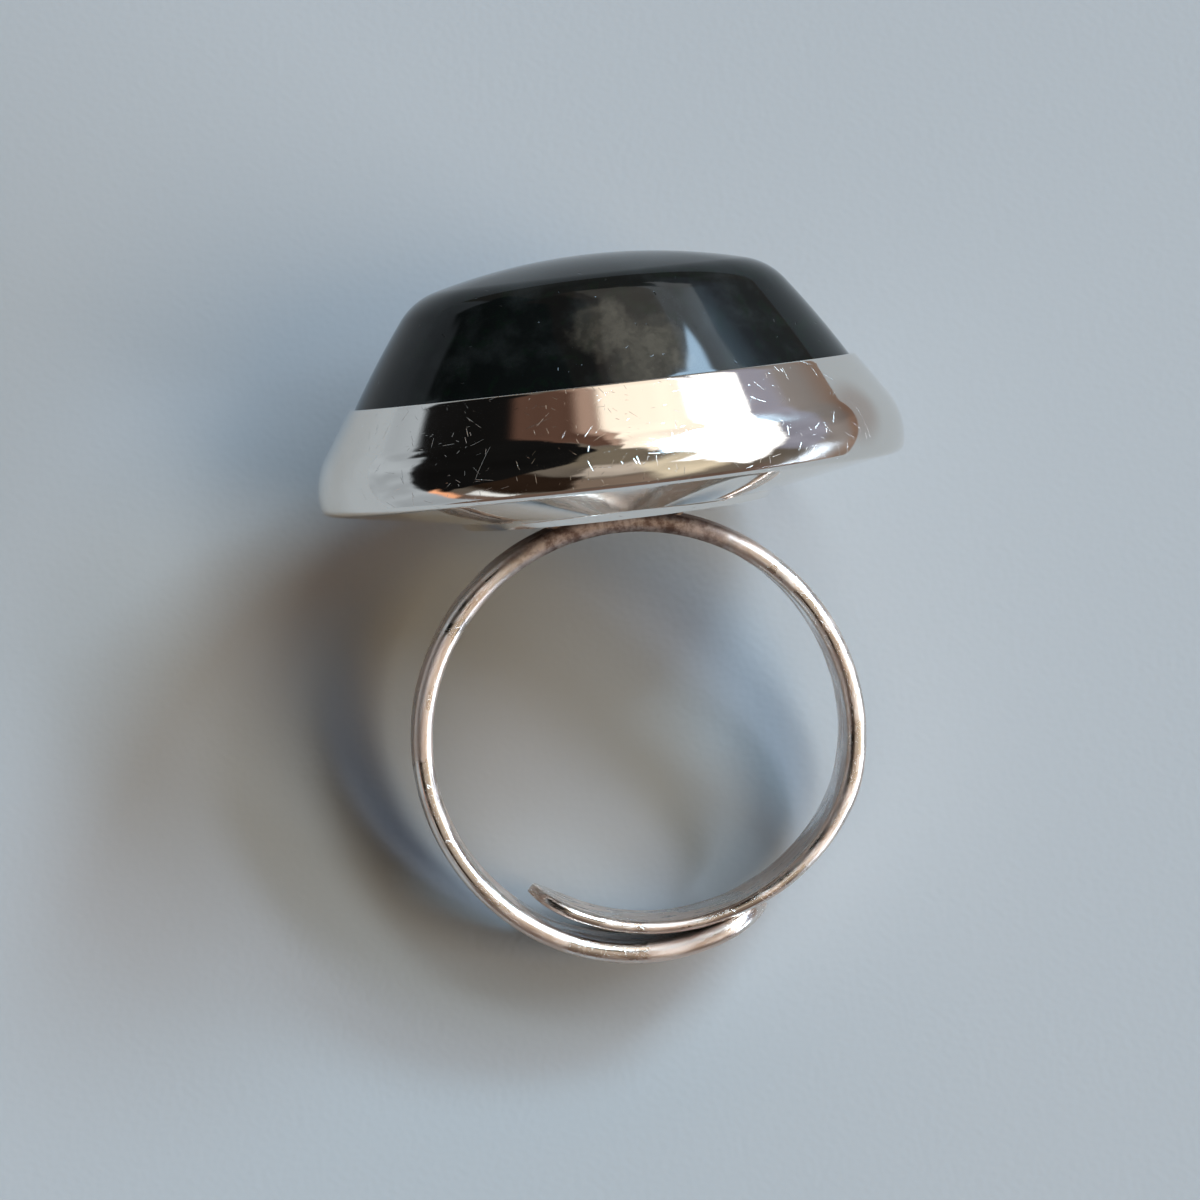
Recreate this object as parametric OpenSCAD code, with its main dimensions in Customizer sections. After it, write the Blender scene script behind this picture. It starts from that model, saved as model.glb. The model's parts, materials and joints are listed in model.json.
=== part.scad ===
// Adjustable ring: an open silver band soldered under an oval cup that holds a high cabochon.
// The ring is modelled with the finger along Z and the stone towards +Y, and is then laid on
// its side, where it rests on the rim of the cup and on one edge of the band.

/* [Band] */
// Radius of the finger circle inside the band
finger_r = 9; // [8.5:0.1:9.6]
// Width of the band along the finger
band_w = 4.5; // [3.6:0.1:5]
// Thickness of the band
band_t = 0.85; // [0.8:0.05:1]
// Thickness that the band thins to under the overlap
tongue_t = 0.55; // [0.5:0.05:0.65]
// How far the outer tab draws in towards the finger
tab_tuck = 0.55; // [0.4:0.05:0.6]
// Angle round the finger at which the outer tab ends
tab_end = 301; // [290:1:304]
// Angle round the finger at which the inner tongue ends
tongue_end = 228; // [222:1:240]

/* [Setting] */
// Length of the cup at its widest
head_l = 25.7; // [24.5:0.1:27]
// Width of the cup at its widest, along the finger
head_w = 19.6; // [18.8:0.1:20.2]
// Height of the widest line above the back
waist_h = 2.2; // [2:0.1:2.4]
// Height of the lip above the back
lip_h = 5.7; // [5.4:0.1:6]
// Lean of the wall towards the stone, in degrees from upright
wall_lean = 33; // [28:1:35]
// Thickness of the lip
lip_t = 0.25; // [0.2:0.05:0.35]
// Length of the raised oval on the back
boss_l = 13.8; // [12.5:0.1:15]
// Width of the raised oval on the back
boss_w = 16.4; // [15.4:0.1:16.8]

/* [Stone] */
// Height of the dome above the lip
dome_h = 5.6; // [4.8:0.1:6]
// Slope of the stone's flank where it leaves the lip, in degrees
flank_angle = 59; // [57:1:60]
// Radius of the stone's shoulder, between the flank and the crown
shoulder_r = 3; // [2.4:0.1:3.4]

/* [Hidden] */

// Smallest gap left between the stone and the metal
seat_gap = 0.05;

// Rounded edges and ends of the band, and how far its outer side is domed
edge_r = 0.36;
tip_l = band_w / 2;
band_crown = 0.08;
// The tongue runs on a circle of its own, shifted from the finger's axis in this direction
tongue_shift = 1.02;
tongue_dir = 59;
tongue_r = finger_r - 0.13;
// Angle at which the outer tab leaves the round of the band
tab_start = 233;
// Softness of the bend where the round of the band turns into the tongue
bend_soft = 0.12;
// The band thins from this direction on, over this angle
thin_from = -20;
thin_over = 50;

// Roundings and thicknesses of the cup
end_r = 8.2;
waist_r = 3;
under_turn = 12;
corner_r = 0.45;
floor_h = 1.8;
wall_t = 0.75;
boss_h = 0.3;
boss_bevel = 0.25;
// The cup sits a little to one side of the band, and the band is sunk slightly into its back
head_shift = 0.2;
back_y = finger_r + band_t - 0.03;

// Oval outline of the cup: two end arcs and two side arcs that meet without a corner
half_l = head_l / 2;
half_w = head_w / 2;
end_c = half_l - end_r;
side_r = (end_c * end_c + half_w * half_w - end_r * end_r) / (2 * (half_w - end_r));
side_c = side_r - half_w;
join_angle = atan2(side_c, end_c);
round_steps = 72;

function lerp(a, b, t) = a + (b - a) * t;

// Point of the oval outline whose outward direction is a, moved in by the distance d
function oval(a, d) =
    abs(sin(a)) < sin(join_angle)
        ? [sign(cos(a)) * end_c + (end_r - d) * cos(a), (end_r - d) * sin(a)]
        : [(side_r - d) * cos(a), -sign(sin(a)) * side_c + (side_r - d) * sin(a)];

// Ring of points along the oval, moved in by d, at the height h and made smaller by size
directions = [for (k = [0:round_steps - 1]) 360 * k / round_steps];
function oval_ring(d, h, size = 1) = [for (a = directions)
    let (p = oval(a, d) * size) [p[0], p[1], h]];

// Faces of a body whose rings of n points follow each other, closed at both ends
function ring_faces(n, rings) = concat(
    [for (i = [0:rings - 2]) for (j = [0:n - 1])
        [i * n + j, (i + 1) * n + j, (i + 1) * n + (j + 1) % n]],
    [for (i = [0:rings - 2]) for (j = [0:n - 1])
        [i * n + j, (i + 1) * n + (j + 1) % n, i * n + (j + 1) % n]],
    [[for (j = [0:n - 1]) j]],
    [[for (j = [n - 1:-1:0]) (rings - 1) * n + j]]);

// Distances in from the widest line of the cup
lean_in = waist_r * (1 - cos(wall_lean));
lean_h = waist_h + waist_r * sin(wall_lean);
lip_out = lean_in + (lip_h - lean_h) * tan(wall_lean);
lip_in = lip_out + lip_t;

// The wall curves under by a few degrees below its widest line, and a tighter corner follows
corner_mid_in = waist_r - (waist_r - corner_r) * cos(under_turn);
corner_mid_h = waist_h - (waist_r - corner_r) * sin(under_turn);

// Point of the raised oval on the back whose outward direction is a, moved in by d
function boss(a, d) =
    let (long = boss_l / 2,
         wide = boss_w / 2,
         size = norm([long * cos(a), wide * sin(a)]))
    [(long * long / size - d) * cos(a), (wide * wide / size - d) * sin(a)];
function boss_ring(d, h) = [for (a = directions) let (p = boss(a, d)) [p[0], p[1], h]];

// Slope at which the back runs from the raised oval to the corner, in the direction a
function back_slope(a) =
    let (away = (oval(a, 0) - boss(a, 0)) * [cos(a), sin(a)] - corner_mid_in,
         rise = corner_mid_h - boss_h)
    atan2(rise, away) - asin(corner_r / norm([away, rise]));

// Ring of points on the corner, whose share t runs from the slope of the back to the wall
function corner_ring(t) = [for (a = directions)
    let (turn = lerp(back_slope(a) - 90, -under_turn, t),
         p = oval(a, corner_mid_in - corner_r * cos(turn)))
    [p[0], p[1], corner_mid_h + corner_r * sin(turn)]];

// Rings of the cup: out along the back and round the corner
boss_edge = boss_ring(0, boss_h);
corner_start = corner_ring(0);
back_rings = concat(
    [boss_ring(boss_bevel, 0)],
    [for (t = [0:0.25:0.75]) boss_edge + (corner_start - boss_edge) * t],
    [for (t = [0:0.25:1]) corner_ring(t)]);

// Section of the wall as points [distance in from the widest line, height]: up the flared
// outside, over the lip and down the inside to the floor
wall_section = concat(
    [for (k = [1:5])
        let (a = lerp(-under_turn, wall_lean, k / 5))
        [waist_r * (1 - cos(a)), waist_h + waist_r * sin(a)]],
    [[lip_out, lip_h - 0.06], [lip_out + lip_t * 0.35, lip_h + 0.03],
     [lip_out + lip_t * 0.75, lip_h + 0.03], [lip_in, lip_h - 0.03],
     [lean_in + wall_t, lean_h], [wall_t, floor_h]]);

cup_rings = concat(back_rings, [for (s = wall_section) oval_ring(s[0], s[1])]);
cup_points = [for (r = cup_rings) for (p = r) p];

// The oval cup, back down, with the raised oval on its back at height 0
module cup() {
    polyhedron(cup_points, ring_faces(round_steps, len(cup_rings)), convexity = 4);
}

// Distance from the finger's axis to a shifted circle, along the direction a
function ray(a, shift, dir, r) =
    let (along = shift * cos(a - dir))
    along + sqrt(r * r - shift * shift + along * along);

// Smaller of two distances, with a soft change from one to the other
function soft_min(a, b) =
    (a + b - sqrt((a - b) * (a - b) + bend_soft * bend_soft)) / 2;

// Inner radius and thickness of the band in the direction a, which runs from the tongue's end,
// below zero, past the stone at 90 to the end of the outer tab
function band_in(a) =
    a > tab_start ? ray(a, tab_tuck, tab_start, finger_r - tab_tuck) :
    a > 90 ? finger_r :
    soft_min(finger_r, ray(a, tongue_shift, tongue_dir, tongue_r));
function band_thick(a) =
    lerp(band_t, tongue_t, max(0, min(1, (thin_from - a) / thin_over)));

// Sections of the band as [direction, turn of the rounded end there, 90 where it is over]
tip_steps = 6;
run_steps = 66;
tip_turn = tip_l / finger_r * 180 / PI;
band_from = tongue_end - 360;
sections = concat(
    [for (k = [1:tip_steps - 1])
        let (turn = 90 * k / tip_steps)
        [band_from + tip_turn * (1 - cos(turn)), turn]],
    [for (k = [0:run_steps])
        [lerp(band_from + tip_turn, tab_end - tip_turn, k / run_steps), 90]],
    [for (k = [tip_steps - 1:-1:1])
        let (turn = 90 * k / tip_steps)
        [tab_end - tip_turn * (1 - cos(turn)), turn]]);

// Cross-section of the band as points [distance from the finger's axis, height along it]
function band_section(a, turn) =
    let (w = band_w / 2 * sin(turn),
         t = band_thick(a) * lerp(0.6, 1, sin(turn)),
         e = min(edge_r, t * 0.45),
         low = band_in(a) + (band_thick(a) - t) / 2,
         high = low + t)
    concat(
        [for (k = [0:3]) [low + e - e * cos(30 * k), w - e + e * sin(30 * k)]],
        [for (k = [0:3]) [high - e + e * sin(30 * k), w - e + e * cos(30 * k)]],
        [[high + band_crown * sin(turn), 0]],
        [for (k = [0:3]) [high - e + e * cos(30 * k), -w + e - e * sin(30 * k)]],
        [for (k = [0:3]) [low + e - e * sin(30 * k), -w + e - e * cos(30 * k)]]);
section_points = 17;

band_points = [for (s = sections)
    for (p = band_section(s[0], s[1])) [p[0] * cos(s[0]), p[0] * sin(s[0]), p[1]]];

// The open band, from the end of the tongue round to the end of the outer tab
module band() {
    polyhedron(band_points, ring_faces(section_points, len(sections)), convexity = 6);
}

// Solder that fills the wedges between the round band and the flat back
solder_l = 6.8;
solder_w = band_w - 1;
solder_run = 0.9;
solder_in = 0.15;
module solder() {
    translate([0, 0, -solder_w / 2])
        linear_extrude(solder_w)
            polygon([
                [-solder_l / 2, back_y + solder_in],
                [-solder_l / 2, back_y - 0.03],
                [-solder_l / 2 + solder_run, finger_r + band_t / 3],
                [solder_l / 2 - solder_run, finger_r + band_t / 3],
                [solder_l / 2, back_y - 0.03],
                [solder_l / 2, back_y + solder_in]]);
}

// Profile of the dome above the lip: a slightly round flank, a round shoulder and a shallow crown
// that meet without a corner. The radii of flank and crown follow from the dome's size.
crown_angle = 15;
flank_top = flank_angle - 6;
function arc_in(r, from, to) = r * (sin(from) - sin(to));
function arc_up(r, from, to) = r * (cos(to) - cos(from));
dome_l = half_l - lip_in - seat_gap;
run = dome_l - arc_in(shoulder_r, flank_top, crown_angle);
rise = dome_h - arc_up(shoulder_r, flank_top, crown_angle);
flank_in = arc_in(1, flank_angle, flank_top);
flank_up = arc_up(1, flank_angle, flank_top);
crown_in = arc_in(1, crown_angle, 0);
crown_up = arc_up(1, crown_angle, 0);
share = flank_in * crown_up - flank_up * crown_in;
flank_r = (run * crown_up - rise * crown_in) / share;
crown_r = (rise * flank_in - run * flank_up) / share;
shoulder_d = dome_l - flank_r * flank_in;
shoulder_h = flank_r * flank_up;
// Points [distance from the middle, height]
dome = concat(
    [for (k = [0:3])
        let (a = lerp(flank_angle, flank_top, k / 3))
        [dome_l - arc_in(flank_r, flank_angle, a), arc_up(flank_r, flank_angle, a)]],
    [for (k = [1:7])
        let (a = lerp(flank_top, crown_angle, k / 7))
        [shoulder_d - arc_in(shoulder_r, flank_top, a),
         shoulder_h + arc_up(shoulder_r, flank_top, a)]],
    [for (k = [1:5])
        let (a = crown_angle * (1 - k / 5.5))
        [crown_r * sin(a), dome_h - arc_up(crown_r, a, 0)]]);

// The stone: its hidden foot follows the inside of the cup, and each ring of the dome is the
// outline at the lip, made smaller
foot = [
    [floor_h + seat_gap, wall_t + seat_gap],
    [lean_h, lean_in + wall_t + seat_gap]];
stone_points = concat(
    [for (f = foot) for (p = oval_ring(f[1], f[0])) p],
    [for (d = dome) for (p = oval_ring(lip_in + seat_gap, lip_h + d[1], d[0] / dome_l)) p]);
module cabochon() {
    polyhedron(stone_points, ring_faces(round_steps, len(foot) + len(dome)), convexity = 2);
}

// How the ring lies: seen from the side as points [towards the stone, along the finger], the
// floor is the line that touches the cup and the band and has all of the ring above it
band_side = [for (p = band_points) [p[1], p[2]]];
cup_side = [for (r = cup_rings)
    let (p = r[round_steps / 4]) [back_y + p[2], -p[1]]];
stone_side = [for (p = stone_points) [back_y + p[2], -p[1]]];
rest_tilt = min([for (b = band_side) max([for (c = cup_side) atan2(b[1] - c[1], c[0] - b[0])])]);
function lie_y(p) = p[0] * cos(rest_tilt) - p[1] * sin(rest_tilt);
function lie_z(p) = p[0] * sin(rest_tilt) + p[1] * cos(rest_tilt);
lowest = min([for (p = concat(band_side, cup_side)) lie_z(p)]);
nearest = min([for (p = band_side) lie_y(p)]);
farthest = max([for (p = stone_side) lie_y(p)]);

// Lays a piece of the ring on its side, with the middle of the whole ring over the origin
module lay_down() {
    translate([-head_shift, -(nearest + farthest) / 2, -lowest])
        rotate([rest_tilt, 0, 0])
            children();
}

// Puts what is modelled back down on to the outside of the band
module on_band() {
    translate([head_shift, back_y, 0])
        rotate([-90, 0, 0])
            children();
}

// Silver: band, cup and solder are one piece of metal
module ring_mount() {
    color([0.78, 0.76, 0.74])
        lay_down()
            union() {
                band();
                solder();
                on_band()
                    cup();
            }
}

// Dark moss agate, cut as a high oval dome
module stone() {
    color([0.12, 0.14, 0.13])
        lay_down()
            on_band()
                cabochon();
}

ring_mount();
stone();
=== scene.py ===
import json
import math

import bpy
import numpy as np
from mathutils import Matrix, Vector


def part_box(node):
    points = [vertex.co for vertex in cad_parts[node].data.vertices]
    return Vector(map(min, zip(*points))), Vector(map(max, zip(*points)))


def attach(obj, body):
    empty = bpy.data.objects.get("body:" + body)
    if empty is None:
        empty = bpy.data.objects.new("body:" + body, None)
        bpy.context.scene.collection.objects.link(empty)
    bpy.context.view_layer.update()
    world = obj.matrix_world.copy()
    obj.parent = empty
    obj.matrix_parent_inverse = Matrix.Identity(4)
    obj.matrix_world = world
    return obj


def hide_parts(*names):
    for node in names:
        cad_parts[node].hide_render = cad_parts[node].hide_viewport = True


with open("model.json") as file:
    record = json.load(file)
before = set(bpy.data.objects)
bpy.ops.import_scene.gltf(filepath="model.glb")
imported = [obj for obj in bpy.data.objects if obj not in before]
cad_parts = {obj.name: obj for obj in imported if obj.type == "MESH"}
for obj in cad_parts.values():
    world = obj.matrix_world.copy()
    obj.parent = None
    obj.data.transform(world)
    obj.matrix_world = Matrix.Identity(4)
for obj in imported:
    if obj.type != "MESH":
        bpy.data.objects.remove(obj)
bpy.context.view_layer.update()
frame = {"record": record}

MM = 0.001

# Band: the finger's circle, width and thickness, and the directions of its two ends in degrees
FINGER_R = 9.0
BAND_W = 4.5
BAND_T = 0.85
TONGUE_T = 0.55
TAB_TUCK = 0.55
TAB_END = 301
TONGUE_END = 228
EDGE_R = 0.36
EDGE_OF_T = 0.45
EDGE_OF_W = 0.9
TIP_L = BAND_W / 2
TIP_THIN = 0.6
BAND_CROWN = 0.08
TONGUE_SHIFT = 1.02
TONGUE_DIR = 59
TONGUE_TUCK = 0.13
TAB_START = 233
BEND_SOFT = 0.12
THIN_FROM = -20
THIN_OVER = 50
BAND_SINK = 0.03

# Cup: half length and width, heights above its back, lean and thickness of the wall, lip and back
HALF_L = 12.85
HALF_W = 9.8
WAIST_H = 2.2
LIP_H = 5.7
WALL_LEAN = 33
LIP_T = 0.25
LIP_RISE = 0.12
LIP_BASE = 0.09
LIP_START = 0.06
BOSS_L = 13.8
BOSS_W = 16.4
END_R = 8.2
WAIST_R = 3.0
UNDER_TURN = 12
CORNER_R = 0.45
FLOOR_H = 1.8
WALL_T = 0.75
BOSS_H = 0.3
BOSS_BEVEL = 0.25
BOSS_SOFT = 0.06
BOSS_SOFT_H = 0.005
HEAD_SHIFT = 0.2
BACK_Y = FINGER_R + BAND_T - BAND_SINK

# Stone: height of the dome, the slopes where its flank starts and ends, and its shoulder
DOME_H = 5.6
FLANK_FOOT = 59
FLANK_TOP = 53
CROWN_ANGLE = 15
SHOULDER_R = 3.0
SEAT_GAP = 0.05

# Solder between the band and the back of the cup
SOLDER_L = 6.8
SOLDER_W = BAND_W - 1
SOLDER_RUN = 0.9
SOLDER_IN = 0.15
SOLDER_LIP = 0.03
SOLDER_FOOT = FINGER_R + BAND_T / 3
# Small lumps of solder along the joint: place across the stone, depth from the back, size
LUMPS = (
    (-2.6, -0.18, 0.34),
    (-1.1, -0.3, 0.3),
    (0.3, -0.26, 0.36),
    (1.5, -0.22, 0.33),
    (2.6, -0.1, 0.3),
)
LUMP_TALL = 0.7
LUMP_DEEP = 0.6

# Numbers of steps round, along and across the pieces
ROUND_STEPS = 288
BAND_STEPS = 420
TIP_STEPS = 16
EDGE_STEPS = 8
FACE_STEPS = 13
CORNER_STEPS = 18
BEVEL_STEPS = 5
SLOPE_STEPS = 20
UNDER_STEPS = 20
WALL_STEPS = 16
LIP_STEPS = 9
FLANK_STEPS = 24
SHOULDER_STEPS = 36
CROWN_STEPS = 50
LUMP_STEPS = 24
LUMP_RINGS = 11
SHARP_ABOVE = 35

# The camera's place in the shared frame, its direction, and its lens on a 36 mm sensor, from a
# least squares fit to points on the photographed ring
CAMERA_AT = (-11.3, -56.8, 203.4)
CAMERA_YAW = 10.06
CAMERA_DOWN = 73.52
CAMERA_ROLL = 2.94
SENSOR = 36.0
CAMERA_LENS = 140.5
CAMERA_NEAR = 0.001
CAMERA_FAR = 20


def camera():
    """The camera at the photograph's angle to the ring."""
    yaw, down, roll = (math.radians(a) for a in (CAMERA_YAW, CAMERA_DOWN, CAMERA_ROLL))
    look = Vector((math.sin(yaw) * math.cos(down), math.cos(yaw) * math.cos(down), -math.sin(down)))
    flat_right = look.cross(Vector((0, 0, 1))).normalized()
    flat_up = flat_right.cross(look)
    right = flat_right * math.cos(roll) + flat_up * math.sin(roll)
    up = flat_up * math.cos(roll) - flat_right * math.sin(roll)
    data = bpy.data.cameras.new("camera")
    data.lens = CAMERA_LENS
    data.sensor_width = SENSOR
    data.clip_start = CAMERA_NEAR
    data.clip_end = CAMERA_FAR
    cam = bpy.data.objects.new("camera", data)
    bpy.context.collection.objects.link(cam)
    turn = Matrix((right, up, -look)).transposed().to_4x4()
    cam.matrix_world = Matrix.Translation(Vector(CAMERA_AT) * MM) @ turn
    bpy.context.scene.camera = cam


def smooth_steps(low, high, count):
    """Evenly spaced numbers from low to high, both included."""
    return np.linspace(low, high, count)


# Oval outline of the cup: two end arcs and two side arcs that meet without a corner
END_C = HALF_L - END_R
SIDE_R = (END_C**2 + HALF_W**2 - END_R**2) / (2 * (HALF_W - END_R))
SIDE_C = SIDE_R - HALF_W
JOIN_SIN = math.sin(math.atan2(SIDE_C, END_C))
OUTWARD = np.arange(ROUND_STEPS) * 2 * math.pi / ROUND_STEPS
OUT_X, OUT_Y = np.cos(OUTWARD), np.sin(OUTWARD)


def oval(inset):
    """Closed ring of points on the oval outline, moved in by inset."""
    on_end = np.abs(OUT_Y) < JOIN_SIN
    x = np.where(on_end, np.sign(OUT_X) * END_C + (END_R - inset) * OUT_X, (SIDE_R - inset) * OUT_X)
    y = np.where(on_end, (END_R - inset) * OUT_Y, -np.sign(OUT_Y) * SIDE_C + (SIDE_R - inset) * OUT_Y)
    return np.stack([x, y], axis=1)


def oval_ring(inset, height, size=1.0):
    """The same ring at a height above the cup's back."""
    flat = oval(inset) * size
    return np.column_stack([flat, np.full(len(flat), height)])


def on_band(points):
    """From the cup's frame, back down, to the ring's frame."""
    x, y, h = np.moveaxis(np.asarray(points, float), -1, 0)
    return np.stack([x + HEAD_SHIFT, BACK_Y + h, -y], axis=-1)


def along(points, closed=False):
    """Distance run along a row of points."""
    steps = np.roll(points, -1, axis=0) - points if closed else np.diff(points, axis=0)
    return np.concatenate([[0], np.cumsum(np.linalg.norm(steps, axis=1))])


def loft(name, rings):
    """Closed mesh through rings of points, with a UV map in millimetres along and across."""
    rings = np.asarray(rings, float)
    count, n = rings.shape[:2]
    widest = max(range(count), key=lambda i: along(rings[i], closed=True)[-1])
    u = along(rings[widest], closed=True)
    v = np.concatenate([[0], np.cumsum(np.linalg.norm(np.diff(rings, axis=0), axis=2).max(axis=1))])
    faces = []
    corners = []
    for i in range(count - 1):
        for j in range(n):
            k = (j + 1) % n
            faces.append((i * n + j, i * n + k, (i + 1) * n + k, (i + 1) * n + j))
            corners += [(u[j], v[i]), (u[j + 1], v[i]), (u[j + 1], v[i + 1]), (u[j], v[i + 1])]
    for i in (0, count - 1):
        ring = range(n) if i else range(n - 1, -1, -1)
        faces.append(tuple(i * n + j for j in ring))
        corners += [(u[j], v[i]) for j in ring]
    mesh = bpy.data.meshes.new(name)
    mesh.from_pydata(rings.reshape(-1, 3).tolist(), [], faces)
    layer = mesh.uv_layers.new(name="run")
    layer.data.foreach_set("uv", np.asarray(corners, np.float32).ravel())
    mesh.update()
    obj = bpy.data.objects.new(name, mesh)
    bpy.context.collection.objects.link(obj)
    face_outwards(obj)
    return obj


def face_outwards(obj):
    """Turns the faces of a closed mesh so that they look out."""
    mesh = obj.data
    mesh.calc_loop_triangles()
    points = np.empty(len(mesh.vertices) * 3)
    mesh.vertices.foreach_get("co", points)
    points = points.reshape(-1, 3)
    tri = np.empty(len(mesh.loop_triangles) * 3, int)
    mesh.loop_triangles.foreach_get("vertices", tri)
    a, b, c = (points[tri.reshape(-1, 3)[:, k]] for k in range(3))
    if np.einsum("ij,ij->i", a, np.cross(b, c)).sum() < 0:
        mesh.flip_normals()


# Distances in from the widest line of the cup
LEAN = math.radians(WALL_LEAN)
LEAN_IN = WAIST_R * (1 - math.cos(LEAN))
LEAN_H = WAIST_H + WAIST_R * math.sin(LEAN)
LIP_OUT = LEAN_IN + (LIP_H - LEAN_H) * math.tan(LEAN)
LIP_IN = LIP_OUT + LIP_T
UNDER = math.radians(UNDER_TURN)
CORNER_MID_IN = WAIST_R - (WAIST_R - CORNER_R) * math.cos(UNDER)
CORNER_MID_H = WAIST_H - (WAIST_R - CORNER_R) * math.sin(UNDER)


def boss_ring(inset, height):
    """Ring of points on the raised oval of the back, moved in by inset."""
    long, wide = BOSS_L / 2, BOSS_W / 2
    size = np.hypot(long * OUT_X, wide * OUT_Y)
    x = (long**2 / size - inset) * OUT_X
    y = (wide**2 / size - inset) * OUT_Y
    return np.column_stack([x, y, np.full(ROUND_STEPS, height)])


def back_rings():
    """The cup's back: the raised oval, the slope round it and the tight corner at its rim."""
    edge = boss_ring(0, BOSS_H)
    away = ((oval(0) - edge[:, :2]) * np.column_stack([OUT_X, OUT_Y])).sum(axis=1) - CORNER_MID_IN
    rise = CORNER_MID_H - BOSS_H
    slope = np.arctan2(rise, away) - np.arcsin(CORNER_R / np.hypot(away, rise))
    corner = []
    for t in smooth_steps(0, 1, CORNER_STEPS):
        a = (slope - math.pi / 2) * (1 - t) - UNDER * t
        inset = CORNER_MID_IN - CORNER_R * np.cos(a)
        corner.append(np.column_stack([oval(inset), CORNER_MID_H + CORNER_R * np.sin(a)]))
    shares = smooth_steps(0, 1, BEVEL_STEPS)[1:-1]
    bevel = [boss_ring(BOSS_BEVEL * (1 - t), BOSS_H * t) for t in shares]
    run = [edge + (corner[0] - edge) * t for t in smooth_steps(0, 1, SLOPE_STEPS)[:-1]]
    top = [boss_ring(BOSS_BEVEL + BOSS_SOFT, 0), boss_ring(BOSS_BEVEL, BOSS_SOFT_H)]
    return [*top, *bevel, *run, *corner]


def wall_section():
    """Section of the cup's wall as [inset, height]: up the outside, over the lip and in."""
    rows = []
    for a in smooth_steps(-UNDER, LEAN, UNDER_STEPS)[1:]:
        rows.append((WAIST_R * (1 - math.cos(a)), WAIST_H + WAIST_R * math.sin(a)))
    for t in smooth_steps(0, 1, WALL_STEPS)[1:-1]:
        rows.append((LEAN_IN + (LIP_OUT - LEAN_IN) * t, LEAN_H + (LIP_H - LIP_START - LEAN_H) * t))
    lip_mid = LIP_OUT + LIP_T / 2
    for a in smooth_steps(-60, 90, LIP_STEPS):
        turn = math.radians(a)
        inset = lip_mid + LIP_T / 2 * math.sin(turn)
        rows.append((inset, LIP_H - LIP_BASE + LIP_RISE * math.cos(turn)))
    rows += [(LEAN_IN + WALL_T, LEAN_H), (WALL_T, FLOOR_H)]
    return rows


def cup():
    """The oval cup on the outside of the band."""
    rings = back_rings() + [oval_ring(inset, h) for inset, h in wall_section()]
    return loft("cup", [on_band(r) for r in rings])


def ray(a, shift, direction, r):
    """Distance from the finger's axis to a shifted circle, along the direction a in degrees."""
    part = shift * np.cos(np.radians(a - direction))
    return part + np.sqrt(r * r - shift * shift + part * part)


def soft_min(a, b):
    """Smaller of two distances, with a soft change from one to the other."""
    return (a + b - np.sqrt((a - b) ** 2 + BEND_SOFT**2)) / 2


def band_in(a):
    """Inner radius of the band, from the tongue's end round past the stone to the outer tab."""
    if a > TAB_START:
        return ray(a, TAB_TUCK, TAB_START, FINGER_R - TAB_TUCK)
    if a > 90:
        return FINGER_R
    return soft_min(FINGER_R, ray(a, TONGUE_SHIFT, TONGUE_DIR, FINGER_R - TONGUE_TUCK))


def band_thick(a):
    """Thickness of the band, which thins under the overlap."""
    return BAND_T + (TONGUE_T - BAND_T) * max(0, min(1, (THIN_FROM - a) / THIN_OVER))


def band_section(a, turn):
    """Cross-section of the band at the direction a; turn runs from 0 to 90 over a rounded end."""
    part = math.sin(math.radians(turn))
    w = BAND_W / 2 * part
    t = band_thick(a) * (TIP_THIN + (1 - TIP_THIN) * part)
    e = min(EDGE_R, t * EDGE_OF_T, w * EDGE_OF_W)
    low = band_in(a) + (band_thick(a) - t) / 2
    high = low + t
    quarter = np.radians(smooth_steps(0, 90, EDGE_STEPS))
    c, s = e * np.cos(quarter), e * np.sin(quarter)
    share = smooth_steps(-1, 1, FACE_STEPS)[1:-1]
    across = share * (w - e)
    crown = BAND_CROWN * part * (1 - share**2)
    rows = np.concatenate([
        np.column_stack([low + e - c, w - e + s]),
        np.column_stack([high - e + s, w - e + c]),
        np.column_stack([high + crown, across])[::-1],
        np.column_stack([high - e + c, -w + e - s]),
        np.column_stack([low + e - s, -w + e - c]),
        np.column_stack([np.full(len(across), low), across]),
    ])
    heading = math.radians(a)
    away, side = rows.T
    return np.column_stack([away * math.cos(heading), away * math.sin(heading), side])


def band():
    """The open band, from the end of the tongue round to the end of the outer tab."""
    tip_turn = math.degrees(TIP_L / FINGER_R)
    start = TONGUE_END - 360
    tip = smooth_steps(4, 90, TIP_STEPS)[:-1]
    rows = [(start + tip_turn * (1 - math.cos(math.radians(t))), t) for t in tip]
    rows += [(a, 90) for a in smooth_steps(start + tip_turn, TAB_END - tip_turn, BAND_STEPS)]
    rows += [(TAB_END - tip_turn * (1 - math.cos(math.radians(t))), t) for t in tip[::-1]]
    return loft("band", [band_section(a, turn) for a, turn in rows])


def solder():
    """Solder that fills the wedges between the round band and the flat back."""
    half = SOLDER_L / 2
    outline = [(-half, BACK_Y + SOLDER_IN), (-half, BACK_Y - SOLDER_LIP)]
    outline += [(-half + SOLDER_RUN, SOLDER_FOOT), (half - SOLDER_RUN, SOLDER_FOOT)]
    outline += [(half, BACK_Y - SOLDER_LIP), (half, BACK_Y + SOLDER_IN)]
    ends = (-SOLDER_W / 2, SOLDER_W / 2)
    return loft("solder", [[(x, y, z) for x, y in outline] for z in ends])


def lump(spot, size):
    """One small round lump of solder."""
    turns = np.radians(np.arange(LUMP_STEPS) * 360 / LUMP_STEPS)
    rings = []
    for a in np.radians(smooth_steps(-80, 80, LUMP_RINGS)):
        x = size * math.cos(a) * np.cos(turns)
        y = LUMP_TALL * size * math.cos(a) * np.sin(turns)
        z = np.full(LUMP_STEPS, LUMP_DEEP * size * math.sin(a))
        rings.append(np.column_stack([x, y, z]) + spot)
    return loft("lump", rings)


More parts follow.
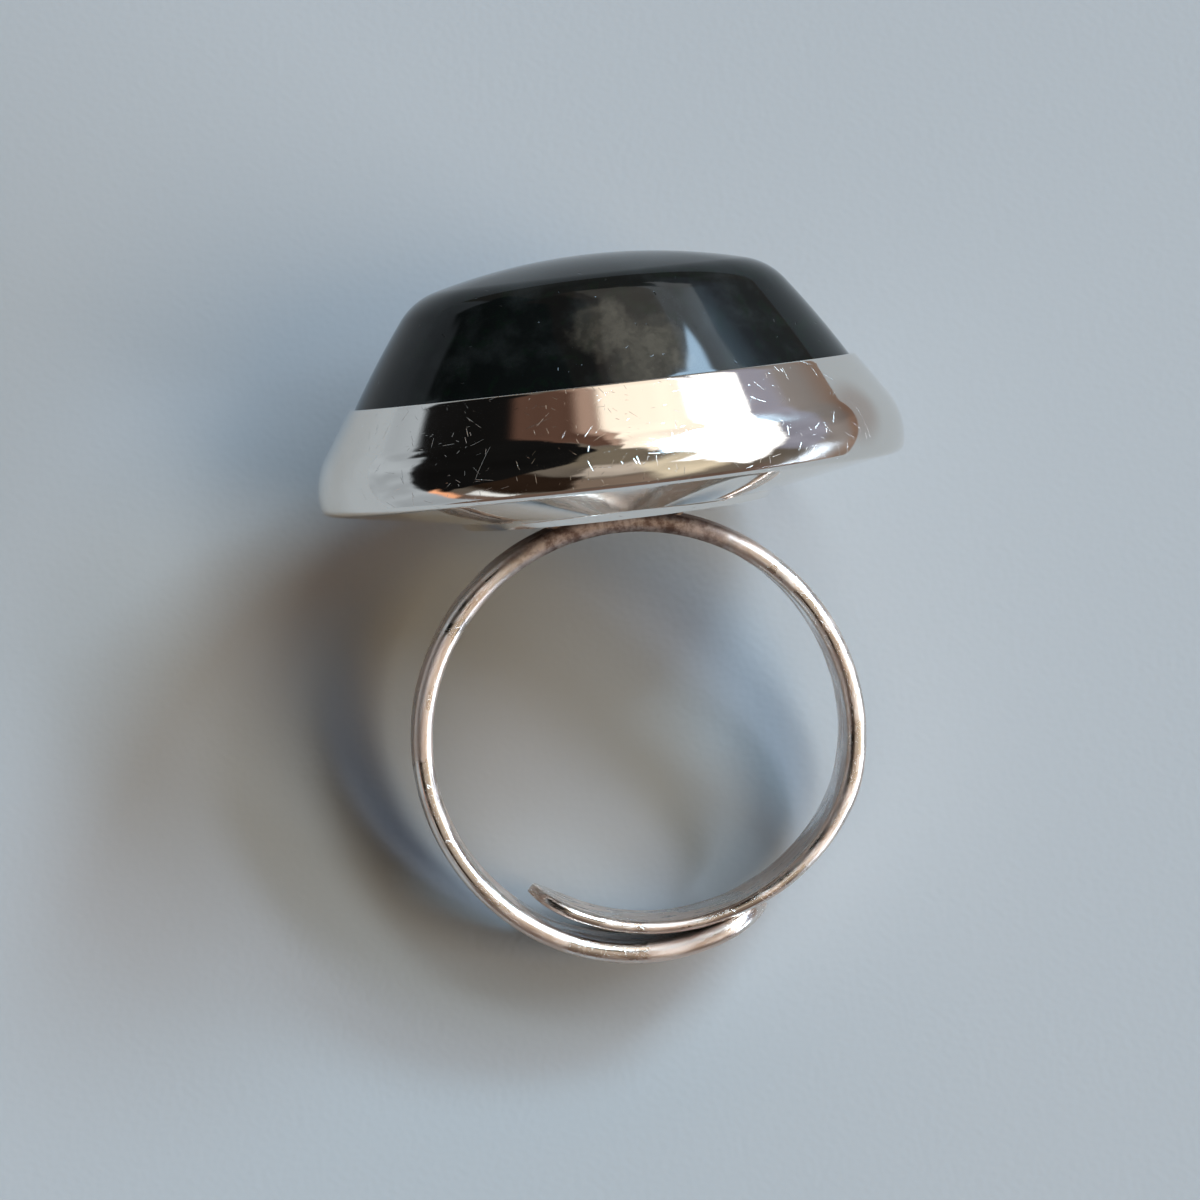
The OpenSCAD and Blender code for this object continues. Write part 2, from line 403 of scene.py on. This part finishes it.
def arc(r, start, end, count):
    """Steps along an arc whose slope runs from start to end, as [way in, way up]."""
    a = smooth_steps(start, end, count)[1:]
    return np.column_stack([r * (math.sin(start) - np.sin(a)), r * (np.cos(a) - math.cos(start))])


def dome_profile():
    """Profile of the dome above the lip as [distance from the middle, height]."""
    foot, top, crown = (math.radians(a) for a in (FLANK_FOOT, FLANK_TOP, CROWN_ANGLE))
    dome_l = HALF_L - LIP_IN - SEAT_GAP
    run = dome_l - SHOULDER_R * (math.sin(top) - math.sin(crown))
    rise = DOME_H - SHOULDER_R * (math.cos(crown) - math.cos(top))
    share = [[math.sin(foot) - math.sin(top), math.sin(crown)],
             [math.cos(top) - math.cos(foot), 1 - math.cos(crown)]]
    flank_r, crown_r = np.linalg.solve(share, [run, rise])
    rows = [(dome_l, 0)]
    for r, start, end, count in (
        (flank_r, foot, top, FLANK_STEPS),
        (SHOULDER_R, top, crown, SHOULDER_STEPS),
        (crown_r, crown, 0, CROWN_STEPS),
    ):
        d, h = rows[-1]
        rows += [(d - way_in, h + up) for way_in, up in arc(r, start, end, count)]
    return dome_l, rows[:-1]


def stone():
    """The dome and its hidden foot inside the cup."""
    dome_l, rows = dome_profile()
    rings = [oval_ring(WALL_T + SEAT_GAP, FLOOR_H + SEAT_GAP)]
    rings.append(oval_ring(LEAN_IN + WALL_T + SEAT_GAP, LEAN_H))
    rings += [oval_ring(LIP_IN + SEAT_GAP, LIP_H + h, d / dome_l) for d, h in rows]
    return loft("moss_agate_dome", [on_band(r) for r in rings])


def fuse(obj, others):
    """Joins closed meshes into one solid."""
    for other in others:
        cut = obj.modifiers.new(other.name, "BOOLEAN")
        cut.operation = "UNION"
        cut.solver = "MANIFOLD"
        cut.object = other
    bpy.context.view_layer.update()
    fused = bpy.data.meshes.new_from_object(obj.evaluated_get(bpy.context.evaluated_depsgraph_get()))
    obj.modifiers.clear()
    obj.data = fused
    for other in others:
        bpy.data.objects.remove(other)


def lay_down(obj, node, turn):
    """Lays a piece on its side and moves it to where its CAD node is."""
    obj.data.transform(turn.to_4x4() @ Matrix.Scale(MM, 4))
    points = [v.co for v in obj.data.vertices]
    low = Vector(min(p[k] for p in points) for k in range(3))
    high = Vector(max(p[k] for p in points) for k in range(3))
    node_low, node_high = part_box(node)
    shift = (Vector(node_low) + Vector(node_high) - low - high) / 2
    obj.data.transform(Matrix.Translation(shift))
    return shift


camera()

axis = frame["record"]["mounts"][0]["axis"]
tilt = Matrix.Rotation(math.atan2(-axis[1], axis[2]), 3, "X")

metal = cup()
metal.name = "silver_ring_mount"
lumps = [lump((x, BACK_Y + y, side * SOLDER_W / 2), r) for x, y, r in LUMPS for side in (-1, 1)]
fuse(metal, [band(), solder(), *lumps])
origin = lay_down(metal, "ring_mount", tilt)
dome = stone()
lay_down(dome, "stone", tilt)
for piece, node, slot in ((metal, "ring_mount", "silver"), (dome, "stone", "moss_agate")):
    piece.data.shade_smooth()
    piece.data.set_sharp_from_angle(angle=math.radians(SHARP_ABOVE))
    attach(piece, "root")
    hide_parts(node)


def node(tree, kind, inputs=(), **settings):
    """Adds a node, with its settings and with values or links on its inputs."""
    made = tree.nodes.new(kind)
    for key, value in settings.items():
        setattr(made, key, value)
    for key, value in dict(inputs).items():
        if isinstance(value, bpy.types.NodeSocket):
            tree.links.new(value, made.inputs[key])
        else:
            made.inputs[key].default_value = value
    return made


def calc(tree, operation, *values):
    """Result of a sum on up to three numbers."""
    return node(tree, "ShaderNodeMath", dict(enumerate(values)), operation=operation).outputs[0]


def vector(tree, operation, *values):
    """Result of a sum on vectors."""
    return node(tree, "ShaderNodeVectorMath", dict(enumerate(values)), operation=operation).outputs[0]


def fade(tree, value, start, end, low=0.0, high=1.0):
    """Smooth change from low to high while value runs from start to end."""
    inputs = {"Value": value, "From Min": start, "From Max": end, "To Min": low, "To Max": high}
    return node(tree, "ShaderNodeMapRange", inputs, interpolation_type="SMOOTHSTEP").outputs[0]


def blend(tree, share, first, second):
    """Colour between two colours."""
    made = node(tree, "ShaderNodeMix", {0: share, 6: first, 7: second}, data_type="RGBA")
    return made.outputs[2]


def cloud(tree, place, size, detail=2.0, rough=0.5, distortion=0.0):
    """Soft noise from 0 to 1 whose lumps are about as large as size."""
    inputs = {"Vector": place, "Scale": 1 / size, "Detail": detail, "Roughness": rough,
              "Distortion": distortion}
    return node(tree, "ShaderNodeTexNoise", inputs).outputs["Fac"]


def rgb(*values):
    """Linear colour with its alpha."""
    return (*values, 1.0)


# Soft areas of light round the ring, each with the middle of its azimuth (from +Y towards +X)
# and elevation, half its width and height, how far its azimuth shifts per degree up, the softness
# of its edge, and its colour. A later area lies over the earlier ones. The first list lights the
# table, and the silver and the stone mirror the second. The first comes from a program that fitted
# it to the shades of the table in the photograph. Its colours and three of its heights were changed
# after that, and its softness was given, as all of the second list was.
ROOM_DIM = rgb(0.01, 0.01, 0.01)
LIGHTS = (
    ("low front", 117.4, 13.9, 18.3, 2.2, 0, 0.3, rgb(54.0, 67.0, 82.0)),
    ("low behind", 20.5, 26, 24.6, 2.2, 0, 0.3, rgb(9.0, 3.6, 0.5)),
    ("warm side", 126.4, 48.3, 18.5, 12.7, 0, 0.1, rgb(8.2, 6.3, 3.8)),
    ("high", 66.8, 59, 41.9, 4.8, 0, 0.2, rgb(8.8, 10.6, 11.5)),
    ("window", 70.2, 40.8, 20.2, 2.8, 0, 0.3, rgb(21.4, 26.2, 34.3)),
    ("bright window", 51.4, 32.6, 9, 5.1, 0, 0.2, rgb(33.0, 51.0, 66.0)),
)
MIRROR_DIM = rgb(0.14, 0.12, 0.10)
MIRRORED = (
    ("overhead", 0, 90, 360, 16, 0, 0.3, rgb(0.17, 0.145, 0.11)),
    ("camera side", 178, 67, 30, 9, 0, 0.3, rgb(0.52, 0.46, 0.40)),
    ("below the camera", -176, 47, 22, 9, 0, 0.4, rgb(0.25, 0.19, 0.15)),
    ("low brown side", -160, 8, 75, 22, 0, 0.25, rgb(0.15, 0.10, 0.08)),
    ("dark behind the camera", -129, 49, 32, 12, 0, 0.2, rgb(0.02, 0.012, 0.008)),
    ("white streak", -132, 33, 11, 3, 0, 0.5, rgb(0.85, 0.88, 0.9)),
    ("dark side", -66, 46, 46, 33, 0, 0.03, rgb(0.006, 0.006, 0.006)),
    ("orange streak", -115, 24, 8, 4, 0.5, 0.4, rgb(1.05, 0.5, 0.28)),
    ("pale side", -94, -6, 43, 30, 0, 0.04, rgb(0.40, 0.45, 0.50)),
    ("pale side low", -45, -12, 18, 26, 0, 0.05, rgb(0.40, 0.45, 0.50)),
    ("pale corner", -51, 2, 6, 17, 0, 0.06, rgb(0.40, 0.45, 0.50)),
    ("copper", -12, 52, 9.5, 18, 0.37, 0.1, rgb(0.10, 0.055, 0.04)),
    ("lavender", 64, 24, 40, 11, 0, 0.3, rgb(0.30, 0.305, 0.38)),
    ("grey", 78, 10, 48, 8, 0, 0.3, rgb(0.25, 0.23, 0.225)),
    ("pink brown", 82, -2, 46, 8, 0, 0.5, rgb(0.27, 0.20, 0.165)),
    ("cream behind", 130, 56, 30, 14, 0, 0.3, rgb(0.70, 0.62, 0.48)),
    ("cream", 39.5, 56, 36, 22, 0.37, 0.06, rgb(1.26, 1.12, 0.96)),
    ("tan", -0.5, 53, 3.5, 20, 0.37, 0.15, rgb(0.42, 0.29, 0.23)),
    ("white", 77, 48, 36, 14, 1.7, 0.1, rgb(1.9, 1.95, 2.0)),
    ("white low", 35, 31, 9, 6, 1.2, 0.15, rgb(1.9, 1.95, 2.0)),
    ("white right", 105, 44, 22, 10, 0, 0.15, rgb(1.9, 1.95, 2.0)),
    ("sky", 72.5, 57.5, 29.5, 15.5, 0, 0.04, rgb(14.0, 20.0, 26.0)),
)
STRAY = rgb(0.08, 0.075, 0.07)
BACKDROP = rgb(0.47, 0.53, 0.60)
WOBBLE = 0.12
WAVE_SCALE = 6.0
WAVE_DETAIL = 2.0
UNEVEN_SIZE = 0.3
UNEVEN_LOW = 0.85
UNEVEN_HIGH = 1.15


def light_area(tree, azimuth, elevation, spec):
    """Mask of one soft area of the room, with rounded corners."""
    mid_az, mid_el, half_w, half_h, shift, soft = spec
    side = calc(tree, "SUBTRACT", azimuth, mid_az)
    up = calc(tree, "SUBTRACT", elevation, mid_el)
    if shift:
        side = calc(tree, "MULTIPLY_ADD", up, -shift, side)
    side = calc(tree, "ABSOLUTE", calc(tree, "WRAP", side, 180.0, -180.0))
    edge = soft * half_h
    across = fade(tree, side, half_w + edge, half_w - edge)
    upright = fade(tree, calc(tree, "ABSOLUTE", up), half_h + edge, half_h - edge)
    return calc(tree, "MULTIPLY", across, upright)


def light_areas(tree, way, colour, areas):
    """Background light of the areas, over one colour all round."""
    x, y, z = node(tree, "ShaderNodeSeparateXYZ", {0: way}).outputs
    azimuth = calc(tree, "DEGREES", calc(tree, "ARCTAN2", x, y))
    elevation = calc(tree, "DEGREES", calc(tree, "ARCSINE", z))
    for _, *spec, tint in areas:
        colour = blend(tree, light_area(tree, azimuth, elevation, spec), colour, tint)
    return colour


def background(tree, colour):
    """Light of one colour from the surroundings."""
    return node(tree, "ShaderNodeBackground", {"Color": colour}).outputs[0]


def either(tree, choice, first, second):
    """The first light where the choice is 0 and the second where it is 1."""
    return node(tree, "ShaderNodeMixShader", {0: choice, 1: first, 2: second}).outputs[0]


def room():
    """Soft studio light from all round, with more detail where the silver mirrors it."""
    world = bpy.data.worlds.new("room")
    bpy.context.scene.world = world
    world.use_nodes = True
    tree = world.node_tree
    tree.nodes.clear()
    way = node(tree, "ShaderNodeTexCoord").outputs["Generated"]
    plain = light_areas(tree, way, ROOM_DIM, LIGHTS)
    inputs = {"Vector": way, "Scale": WAVE_SCALE, "Detail": WAVE_DETAIL}
    waves = node(tree, "ShaderNodeTexNoise", inputs).outputs["Color"]
    waves = vector(tree, "MULTIPLY", vector(tree, "SUBTRACT", waves, (0.5, 0.5, 0.5)), (WOBBLE,) * 3)
    bent = vector(tree, "NORMALIZE", vector(tree, "ADD", way, waves))
    mirrored = light_areas(tree, bent, MIRROR_DIM, MIRRORED)
    patchy = cloud(tree, bent, UNEVEN_SIZE, detail=1.0)
    uneven = fade(tree, patchy, 0.3, 0.7, UNEVEN_LOW, UNEVEN_HIGH)
    mirrored = vector(tree, "MULTIPLY", mirrored, uneven)
    rays = node(tree, "ShaderNodeLightPath").outputs
    second_hand = calc(tree, "GREATER_THAN", rays["Diffuse Depth"], 0.5)
    glow = background(tree, plain)
    in_metal = either(tree, second_hand, background(tree, mirrored), background(tree, STRAY))
    glow = either(tree, rays["Is Glossy Ray"], glow, in_metal)
    glow = either(tree, rays["Is Camera Ray"], glow, background(tree, BACKDROP))
    node(tree, "ShaderNodeOutputWorld", {"Surface": glow})


def material(name):
    """New material with its shader, whose tree is returned with it."""
    made = bpy.data.materials.new(name)
    made.use_nodes = True
    tree = made.node_tree
    return made, tree, tree.nodes["Principled BSDF"]


def join(tree, value, shader, socket):
    """Links a value to one of the shader's sockets."""
    tree.links.new(value, shader.inputs[socket])


def ring_place(tree):
    """Place in the ring's own frame, in millimetres."""
    spot = node(tree, "ShaderNodeTexCoord").outputs["Object"]
    inputs = {"Vector": spot, "Location": tuple(origin), "Rotation": tilt.to_euler(),
              "Scale": (MM, MM, MM)}
    return node(tree, "ShaderNodeMapping", inputs, vector_type="TEXTURE").outputs[0]


def near(tree, place, spot, inner, outer):
    """Mask that is 1 within the distance inner of a spot and 0 beyond outer."""
    away = node(tree, "ShaderNodeVectorMath", {0: place, 1: spot}, operation="DISTANCE")
    return fade(tree, away.outputs["Value"], outer, inner)


def scratches(tree, place, cell, length, width, share):
    """Mask of short straight scratches, at most one to a cell, in millimetres."""
    inputs = {"Vector": place, "Scale": 1 / cell}
    cells = node(tree, "ShaderNodeTexVoronoi", inputs, voronoi_dimensions="2D")
    away = vector(tree, "SUBTRACT", place, cells.outputs["Position"])
    pick, turn, size = node(tree, "ShaderNodeSeparateColor", {0: cells.outputs["Color"]}).outputs
    angle = calc(tree, "MULTIPLY", turn, 2 * math.pi)
    inputs = {"Vector": away, "Angle": angle}
    turned = node(tree, "ShaderNodeVectorRotate", inputs, rotation_type="Z_AXIS")
    x, y, _ = node(tree, "ShaderNodeSeparateXYZ", {0: turned.outputs[0]}).outputs
    reach = calc(tree, "MULTIPLY", calc(tree, "MULTIPLY_ADD", size, 0.7, 0.3), length)
    run = fade(tree, calc(tree, "DIVIDE", calc(tree, "ABSOLUTE", x), reach), 1.0, 0.6)
    thin = fade(tree, calc(tree, "ABSOLUTE", y), width, 0.0)
    chosen = calc(tree, "LESS_THAN", pick, share)
    return calc(tree, "MULTIPLY", calc(tree, "MULTIPLY", run, thin), chosen)


def bump(tree, height, depth, normal=None):
    """Normal of a surface raised by height times depth, in millimetres."""
    inputs = {"Height": height, "Distance": depth * MM, "Strength": 1.0}
    if normal is not None:
        inputs["Normal"] = normal
    return node(tree, "ShaderNodeBump", inputs).outputs[0]


SILVER = rgb(0.86, 0.82, 0.765)
SILVER_WARM = rgb(0.55, 0.40, 0.32)
# Dark brown round the solder: tarnish, and painted shade in the gap under the cup
SILVER_DARK_AND_SHADE = rgb(0.12, 0.075, 0.06)
# Places in the ring's frame of the tarnish by the cup's end, and of the dark round the solder,
# which is tarnish with painted shade in the gap under the cup
END_TARNISH_AT = (10.6, BACK_Y + 3.4, 5.5)
JOINT_AT = (0.2, BACK_Y - 0.2, 0.0)
# What wear, scratches and solder each add to the silver's roughness, and depths in millimetres
WORN_ROUGH = 0.34
MARK_ROUGH = 0.2
JOINT_ROUGH = 0.25
MARK_DEPTH = -0.0025
FINE_DEPTH = 0.006


def silver():
    """Polished silver: nicks and scratches, warm tarnish on the band, and dark warm brown round the
    solder that is partly tarnish and partly painted shade in the gap under the cup.
    """
    made, tree, shader = material("silver_worn")
    place = ring_place(tree)
    x, y, z = node(tree, "ShaderNodeSeparateXYZ", {0: place}).outputs
    run = node(tree, "ShaderNodeUVMap", uv_map="run").outputs[0]
    on_the_band = fade(tree, y, BACK_Y - 0.02, BACK_Y - 0.1)

    patch = cloud(tree, place, 2.5, detail=4.0, rough=0.6, distortion=0.6)
    grain = cloud(tree, place, 0.5, detail=4.0, rough=0.65)
    worn = calc(tree, "MULTIPLY", on_the_band, fade(tree, patch, 0.3, 0.62, 0.25, 1.0))
    joint_and_shade = near(tree, place, JOINT_AT, inner=3.8, outer=7.6)
    joint_and_shade = calc(tree, "MULTIPLY", joint_and_shade, fade(tree, y, BACK_Y + 0.25, BACK_Y - 0.05))
    end_tarnish = near(tree, place, END_TARNISH_AT, inner=0.6, outer=1.9)
    on_end = calc(tree, "MULTIPLY", end_tarnish, 0.6)
    warm = calc(tree, "MAXIMUM", calc(tree, "MULTIPLY", worn, 0.8), on_end)
    tint = blend(tree, warm, SILVER, SILVER_WARM)
    # Painted shade in the gap under the cup, over the solder's tarnish
    dark = calc(tree, "MULTIPLY", joint_and_shade, fade(tree, grain, 0.35, 0.65, 1.0, 0.6))
    tint = blend(tree, dark, tint, SILVER_DARK_AND_SHADE)

    hair_run = vector(tree, "ADD", run, (37.7, 11.3, 0.0))
    line_run = vector(tree, "ADD", run, (5.1, 91.3, 0.0))
    nicks = scratches(tree, run, cell=0.45, length=0.16, width=0.012, share=0.5)
    hairs = scratches(tree, hair_run, cell=0.7, length=0.4, width=0.01, share=0.8)
    lines = scratches(tree, line_run, cell=2.6, length=1.2, width=0.012, share=0.35)
    groups = fade(tree, cloud(tree, place, 1.8), 0.4, 0.52)
    marks = calc(tree, "MULTIPLY", calc(tree, "MAXIMUM", nicks, hairs), groups)
    marks = calc(tree, "MAXIMUM", marks, lines)
    fine = cloud(tree, place, 0.12, detail=3.0, rough=0.7)
    stretched = vector(tree, "MULTIPLY", run, (3.0, 0.3, 0.0))
    streak = cloud(tree, stretched, 1.0, detail=3.0, rough=0.6)
    worn = calc(tree, "MULTIPLY", worn, fade(tree, streak, 0.35, 0.65, 0.6, 1.25))
    rough = fade(tree, patch, 0.3, 0.7, 0.04, 0.08)
    for mask, added in ((worn, WORN_ROUGH), (marks, MARK_ROUGH), (joint_and_shade, JOINT_ROUGH)):
        rough = calc(tree, "ADD", rough, calc(tree, "MULTIPLY", mask, added))
    normal = bump(tree, marks, MARK_DEPTH)
    grit = calc(tree, "MULTIPLY", fine, calc(tree, "ADD", worn, 0.06))
    normal = bump(tree, grit, FINE_DEPTH, normal)
    join(tree, tint, shader, "Base Color")
    join(tree, rough, shader, "Roughness")
    join(tree, normal, shader, "Normal")
    shader.inputs["Metallic"].default_value = 1.0
    return made


STONE_DARK = rgb(0.0035, 0.0042, 0.004)
STONE_MOSS = rgb(0.0035, 0.0075, 0.0045)
# Grey-olive of the patch that is mostly a painted reflection of the lit room
STONE_GREY_AND_REFLECTION = rgb(0.044, 0.039, 0.030)
STONE_HAZE = rgb(0.012, 0.014, 0.0135)
# Places in the ring's frame of the two halves of the cloudy grey-olive patch, mostly a painted
# reflection of the lit room over some of the stone's own grey, and of the moss that covers its corner
GREY_AND_REFLECTION_HIGH = (0.1, BACK_Y + 8.0, 6.7)
GREY_AND_REFLECTION_LOW = (2.0, BACK_Y + 6.8, 7.2)
MOSS_AT = (-2.3, BACK_Y + 6.5, 7.2)
STONE_ROUGH = 0.065
STONE_IOR = 1.54
STONE_SHINE = 0.27


def moss_agate():
    """Polished dark agate: a cloudy grey-olive patch, mostly a painted reflection of the lit room
    over some of the stone's own grey, with moss over its edge.
    """
    made, tree, shader = material("moss_agate_polished")
    place = ring_place(tree)
    inputs = {"Vector": place, "Scale": 1.1, "Detail": 5.0}
    bend = node(tree, "ShaderNodeTexNoise", inputs).outputs["Color"]
    bend = vector(tree, "MULTIPLY", vector(tree, "SUBTRACT", bend, (0.5, 0.5, 0.5)), (1.8, 1.8, 1.8))
    bent = vector(tree, "ADD", place, bend)
    high = near(tree, bent, GREY_AND_REFLECTION_HIGH, inner=0.9, outer=1.7)
    low = near(tree, bent, GREY_AND_REFLECTION_LOW, inner=1.1, outer=2.0)
    # Mask of the grey-olive patch: mostly a painted reflection of the lit room in the dome
    window = calc(tree, "MAXIMUM", high, low)
    covered = near(tree, bent, MOSS_AT, inner=1.3, outer=2.2)
    window = calc(tree, "MULTIPLY", window, calc(tree, "SUBTRACT", 1.0, covered))
    cloudy = fade(tree, cloud(tree, bent, 1.1, detail=4.0, rough=0.55), 0.35, 0.65, 0.35, 1.0)
    moss = fade(tree, cloud(tree, bent, 0.8, detail=6.0, rough=0.7), 0.5, 0.65)
    haze = fade(tree, cloud(tree, place, 2.4, detail=4.0, rough=0.6), 0.45, 0.75)
    tint = blend(tree, haze, STONE_DARK, STONE_HAZE)
    tint = blend(tree, calc(tree, "MULTIPLY", moss, 0.6), tint, STONE_MOSS)
    # Painted reflection: the grey-olive patch, over some of the stone's own grey
    tint = blend(tree, calc(tree, "MULTIPLY", window, cloudy), tint, STONE_GREY_AND_REFLECTION)
    pits = scratches(tree, place, cell=0.5, length=0.1, width=0.03, share=0.1)
    join(tree, tint, shader, "Base Color")
    join(tree, bump(tree, pits, -0.01), shader, "Normal")
    shader.inputs["Roughness"].default_value = STONE_ROUGH
    shader.inputs["IOR"].default_value = STONE_IOR
    shader.inputs["Specular IOR Level"].default_value = STONE_SHINE
    return made


TABLE = rgb(0.30, 0.30, 0.30)
TABLE_ROUGH = 0.65
TABLE_GRAIN = 0.3
TABLE_GRAIN_DEPTH = 0.007
FLOOR_REACH = 1


def table():
    """Matte pale table top with a fine grain."""
    made, tree, shader = material("table_top")
    place = node(tree, "ShaderNodeTexCoord").outputs["Object"]
    grain = cloud(tree, place, TABLE_GRAIN * MM, detail=0.0)
    shader.inputs["Base Color"].default_value = TABLE
    shader.inputs["Roughness"].default_value = TABLE_ROUGH
    shader.inputs["Specular IOR Level"].default_value = 0.0
    join(tree, bump(tree, grain, TABLE_GRAIN_DEPTH), shader, "Normal")
    return made


def floor():
    """The plain floor that the ring lies on."""
    mesh = bpy.data.meshes.new("floor")
    corners = [(FLOOR_REACH * x, FLOOR_REACH * y, 0) for x, y in ((-1, -1), (1, -1), (1, 1), (-1, 1))]
    mesh.from_pydata(corners, [], [(0, 1, 2, 3)])
    obj = bpy.data.objects.new("floor", mesh)
    bpy.context.collection.objects.link(obj)
    return obj


room()
for target, finish in ((metal, silver()), (dome, moss_agate()), (floor(), table())):
    target.data.materials.clear()
    target.data.materials.append(finish)
bpy.context.scene.view_settings.view_transform = "Standard"
